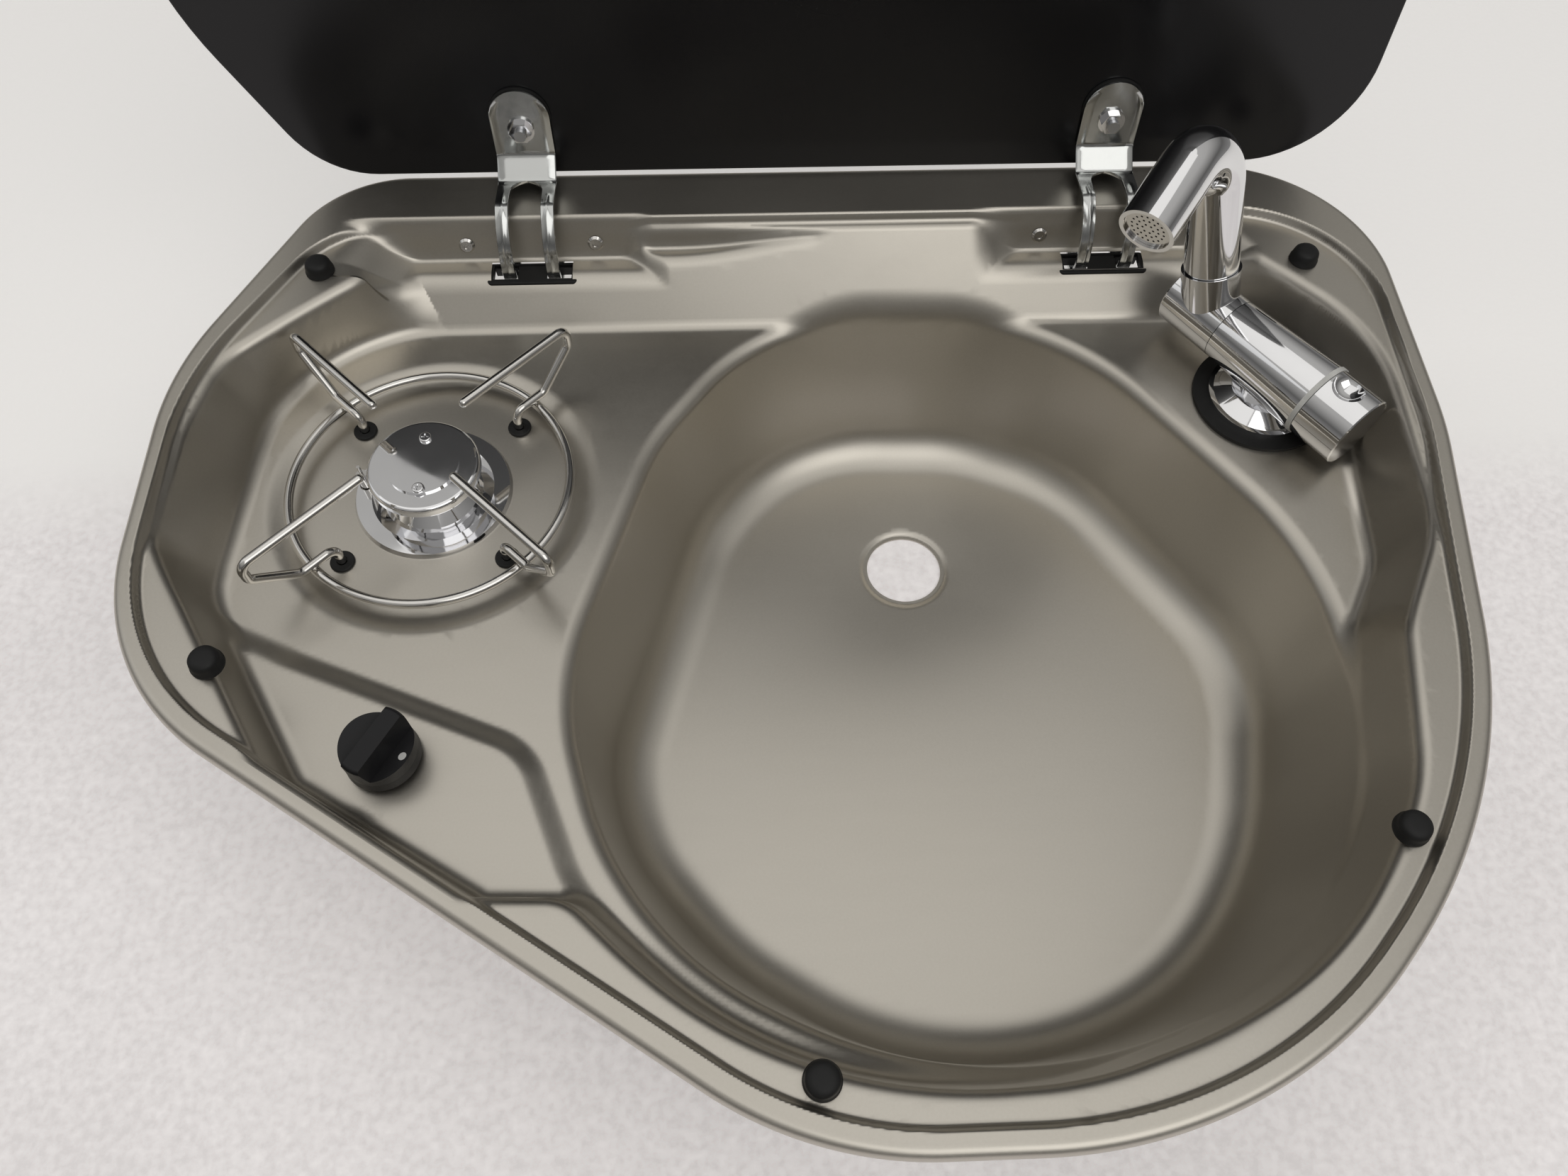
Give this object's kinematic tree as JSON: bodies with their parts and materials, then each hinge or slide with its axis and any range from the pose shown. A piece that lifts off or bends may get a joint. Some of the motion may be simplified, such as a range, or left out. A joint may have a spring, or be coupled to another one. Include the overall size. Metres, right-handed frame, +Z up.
{
  "type": "hob and sink unit",
  "caption": "Drop-in steel sink bowl with one gas burner, folding tap and hinged glass lid, in a rounded triangular tray.",
  "frame": {"origin": "centre of the tray's outline in the plane of the worktop's upper face", "axes": "+X to the user's right, +Y to the rear, where the lid's hinges are, +Z up"},
  "size_m": [0.6, 0.5173, 0.5615],
  "materials": {
    "tray_steel": "satin",
    "foam": "matte",
    "plated_steel": "satin",
    "lid_glass": "glossy",
    "knob_black": "matte",
    "brass": "satin",
    "aluminium_pipe": "satin",
    "polished_steel": "polished",
    "valve_alloy": "satin",
    "rubber": "matte",
    "pale_ring": "satin",
    "mesh_steel": "satin",
    "wire_steel": "polished",
    "hinge_chrome": "polished",
    "tap_chrome": "polished"
  },
  "bodies": {
    "base": {"tray": "tray_steel", "rim_seal": "foam", "lid_buffer_1": "rubber", "lid_buffer_2": "rubber", "lid_buffer_3": "rubber", "lid_buffer_4": "rubber", "lid_buffer_5": "rubber", "slot_pad_left": "rubber", "slot_pad_right": "rubber", "hinge_bracket_left": "plated_steel", "hinge_bracket_right": "plated_steel", "hinge_pin_left": "polished_steel", "hinge_pin_right": "polished_steel", "bracket_rivets": "polished_steel", "grommet_1": "rubber", "grommet_2": "rubber", "grommet_3": "rubber", "grommet_4": "rubber", "burner_base": "polished_steel", "burner_body": "polished_steel", "burner_cap": "polished_steel", "cap_disc": "polished_steel", "cap_screw_1": "polished_steel", "cap_screw_2": "polished_steel", "flame_sensor": "polished_steel", "mixer_cup": "aluminium_pipe", "gas_jet": "brass", "valve_body": "valve_alloy", "gas_pipe": "aluminium_pipe", "gas_inlet": "aluminium_pipe", "tap_gasket": "rubber", "tap_body": "tap_chrome", "tap_washer": "rubber", "tap_nut": "brass", "tap_tail": "polished_steel", "tap_ring": "pale_ring"},
    "lid": {"lid_glass": "lid_glass", "lid_pad_left": "rubber", "lid_pad_right": "rubber", "lid_bolt_left": "hinge_chrome", "lid_bolt_right": "hinge_chrome", "lid_nut_left": "hinge_chrome", "lid_nut_right": "hinge_chrome", "hinge_arm_left": "hinge_chrome", "hinge_arm_right": "hinge_chrome"},
    "pan_support": {"pan_ring": "wire_steel", "pan_finger_1": "wire_steel", "pan_finger_2": "wire_steel", "pan_finger_3": "wire_steel", "pan_finger_4": "wire_steel"},
    "valve": {"valve_plug": "brass", "knob_spring": "polished_steel"},
    "knob": {"knob": "knob_black", "knob_spindle": "polished_steel"},
    "tap_handle": {"tap_handle": "tap_chrome", "tap_cartridge": "brass"},
    "tap_elbow": {"tap_elbow": "tap_chrome"},
    "tap_spout": {"spout": "tap_chrome", "spout_sleeve": "tap_chrome", "aerator": "mesh_steel"}
  },
  "joints": [
    {"name": "lid_hinge", "type": "hinge", "parent": "base", "child": "lid", "pos_m": [0.011, 0.216, -0.01], "axis": [-1, 0, 0], "range_deg": [-95, 0]},
    {"name": "tap_fold", "type": "hinge", "parent": "base", "child": "tap_elbow", "pos_m": [0.234, 0.1105, -0.0115], "axis": [0.5707, -0.8211, 0], "range_deg": [0, 90]},
    {"name": "spout_swivel", "type": "hinge", "parent": "tap_elbow", "child": "tap_spout", "pos_m": [0.20832, 0.14745, -0.0115], "axis": [-0.1952, 0.2808, 0.9397], "range_deg": [0, 60]},
    {"name": "tap_handle_turn", "type": "hinge", "parent": "base", "child": "tap_handle", "pos_m": [0.234, 0.1105, -0.0115], "axis": [0.5707, -0.8211, 0], "range_deg": [0, 90]},
    {"name": "knob_turn", "type": "hinge", "parent": "base", "child": "valve", "pos_m": [-0.185, -0.076, -0.025], "axis": [0, 0, 1], "range_deg": [0, 210]},
    {"name": "knob_push", "type": "slide", "parent": "valve", "child": "knob", "axis": [0, 0, -1], "range_m": [0, 0.003], "stiffness_N_per_m": 400, "springref_m": -0.004, "deforming": ["knob_spring"]},
    {"name": "pan_lift", "type": "slide", "parent": "base", "child": "pan_support", "axis": [0, 0, 1], "range_m": [0, 0.09]}
  ],
  "couplings": [
    {"joint": "tap_fold", "follows": "lid_hinge", "ratio": -0.94737}
  ]
}
